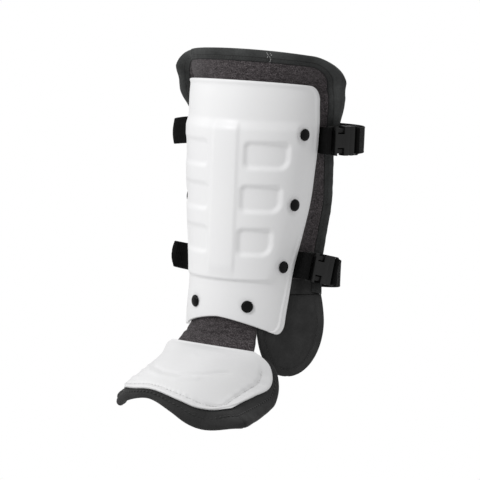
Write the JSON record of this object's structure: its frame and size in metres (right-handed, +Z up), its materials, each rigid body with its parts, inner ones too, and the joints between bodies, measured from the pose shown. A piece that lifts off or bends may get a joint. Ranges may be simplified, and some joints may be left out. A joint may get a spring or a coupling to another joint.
{
  "type": "batters leg guard",
  "caption": "Shin guard with a moulded white shell riveted to a padded sleeve front, a hinged instep flap, an ankle wing and two buckled calf straps.",
  "frame": {"origin": "on the inner face of the shin pad, at its front centre, level with the middle rivets", "axes": "+Z up the shin, -Y out of the front of the shell, +X towards the side with the buckles and the ankle wing"},
  "size_m": [0.2202, 0.3095, 0.3761],
  "materials": {
    "white_plastic": "satin",
    "black_plastic": "satin",
    "knit_pad": "matte",
    "edge_cloth": "matte",
    "ankle_cloth": "matte",
    "webbing": "matte"
  },
  "bodies": {
    "root": {"shin_shell": "white_plastic", "rivet_1": "black_plastic", "rivet_2": "black_plastic", "rivet_3": "black_plastic", "rivet_4": "black_plastic", "rivet_5": "black_plastic", "rivet_6": "black_plastic", "rivet_7": "black_plastic", "rivet_8": "black_plastic", "shin_pad": "knit_pad", "pad_binding": "edge_cloth", "ankle_wing": "ankle_cloth", "foot_plate": "white_plastic", "foot_pad": "ankle_cloth", "instep_bridge": "knit_pad", "upper_buckle_female": "black_plastic", "upper_buckle_male": "black_plastic", "upper_strap_anchor": "webbing", "upper_calf_strap": "webbing", "lower_buckle_female": "black_plastic", "lower_buckle_male": "black_plastic", "lower_strap_anchor": "webbing", "lower_calf_strap": "webbing"}
  },
  "joints": []
}
